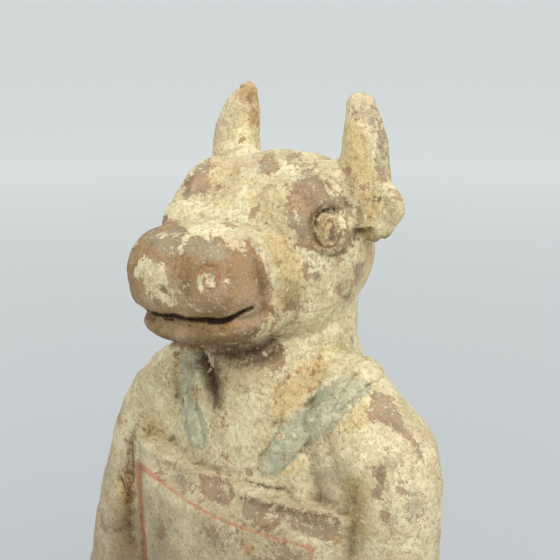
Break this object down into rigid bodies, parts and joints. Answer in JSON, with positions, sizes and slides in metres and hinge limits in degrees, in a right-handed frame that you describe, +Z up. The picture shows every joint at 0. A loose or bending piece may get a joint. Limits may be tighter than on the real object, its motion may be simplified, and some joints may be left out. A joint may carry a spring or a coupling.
{
  "type": "terracotta tomb figurine",
  "caption": "Ox-headed terracotta official in a wide-sleeved robe, hands joined, standing on a low rounded base.",
  "frame": {"origin": "centre of the base's underside", "axes": "+Z up through the figure, -Y is where it faces, +X is the figure's left"},
  "size_m": [0.1056, 0.082, 0.2992],
  "materials": {
    "terracotta": "low-fired clay under a worn cream slip with ochre, purple-brown and grey-blue paint"
  },
  "bodies": {
    "root": {"figurine": "terracotta"}
  },
  "joints": []
}
